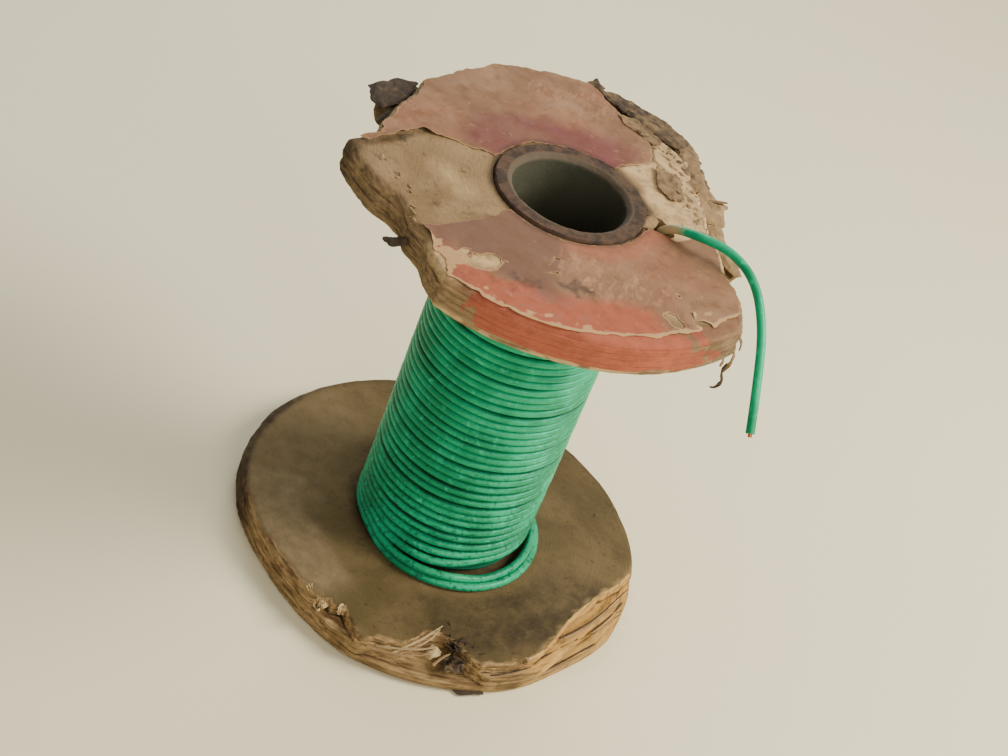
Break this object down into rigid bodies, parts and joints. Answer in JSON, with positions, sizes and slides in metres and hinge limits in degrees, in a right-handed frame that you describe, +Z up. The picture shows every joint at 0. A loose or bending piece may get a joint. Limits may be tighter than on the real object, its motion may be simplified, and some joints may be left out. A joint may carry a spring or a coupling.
{
  "type": "wooden cable drum",
  "caption": "Small worn wire drum: layered fibre-board ends on an open fibre tube, part full of green insulated wire, with broken rims and torn red paper.",
  "frame": {"origin": "middle of the tube at floor level, under the lower board", "axes": "+Z up along the tube, -Y to the front, where the lower board is notched, +X to the right, where the wire comes out"},
  "size_m": [0.1763, 0.168, 0.1865],
  "materials": {
    "board": "rough",
    "facing": "matte",
    "tube": "matte",
    "insulation": "satin"
  },
  "bodies": {
    "root": {"flange_lower": "board", "flange_upper": "board", "paper_back": "facing", "paper_front": "facing", "core_tube": "tube", "wire_winding": "insulation", "wire_end": "insulation"}
  },
  "joints": []
}
